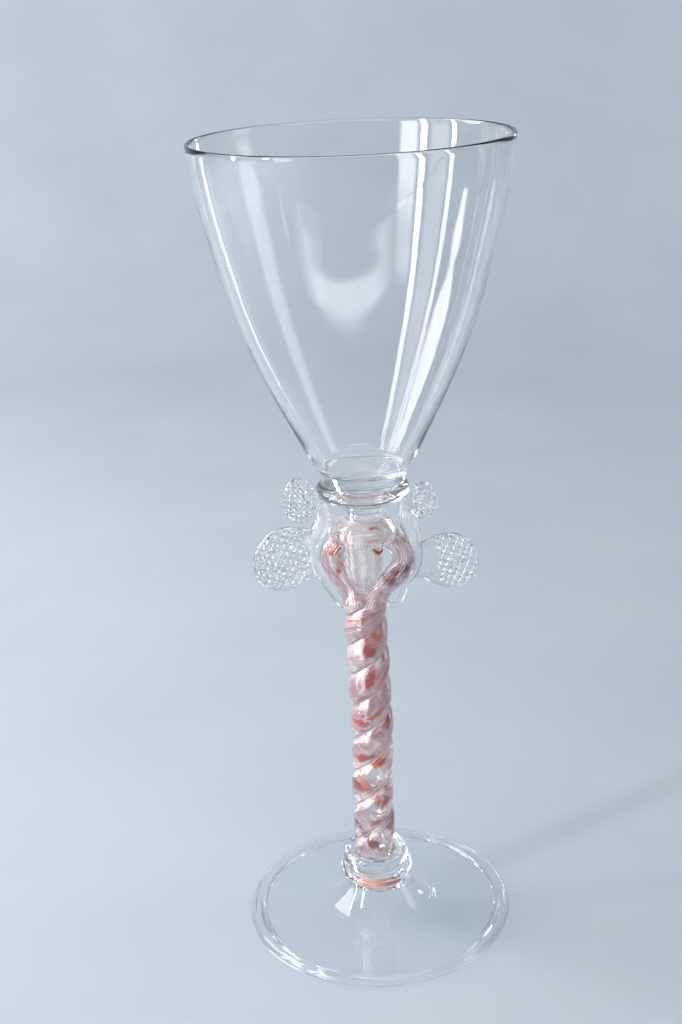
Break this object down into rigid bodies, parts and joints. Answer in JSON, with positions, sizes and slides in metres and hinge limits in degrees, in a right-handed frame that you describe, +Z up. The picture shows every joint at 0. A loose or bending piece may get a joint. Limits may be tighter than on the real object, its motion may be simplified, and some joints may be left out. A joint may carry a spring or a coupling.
{
  "type": "stemmed glass",
  "caption": "Tall goblet with a thin funnel bowl, a twisted cane stem that opens into loops with waffled side wings, stacked collars and a wide foot with a folded rim.",
  "frame": {"origin": "centre of the foot's resting plane, on the table", "axes": "+Z up through the bowl, X across the wings, -Y towards the viewer of the picture"},
  "size_m": [0.102, 0.102, 0.2803],
  "materials": {
    "clear_bowl": "fire-polished colourless soda glass, thin blown wall",
    "clear_foot": "fire-polished colourless soda glass",
    "clear_collar": "fire-polished colourless soda glass, solid",
    "tinted_cap": "clear glass over a pale pink core with red streaks",
    "ribbed_cane": "mould-ribbed clear cane with pale pink core and brick-red threads",
    "clear_trail": "hot-applied clear trail, fire-polished",
    "waffled_pad": "clear glass pressed with waffled pincers"
  },
  "bodies": {
    "root": {"foot": "clear_foot", "collar_lower": "clear_collar", "collar_upper": "clear_collar", "cane_right": "ribbed_cane", "cane_left": "ribbed_cane", "cane_centre": "ribbed_cane", "cap": "tinted_cap", "neck": "clear_collar", "merese": "clear_collar", "bowl": "clear_bowl", "trail_left": "clear_trail", "trail_right": "clear_trail", "wing_left": "waffled_pad", "wing_right": "waffled_pad", "crest_left": "waffled_pad", "crest_right": "waffled_pad"}
  },
  "joints": []
}
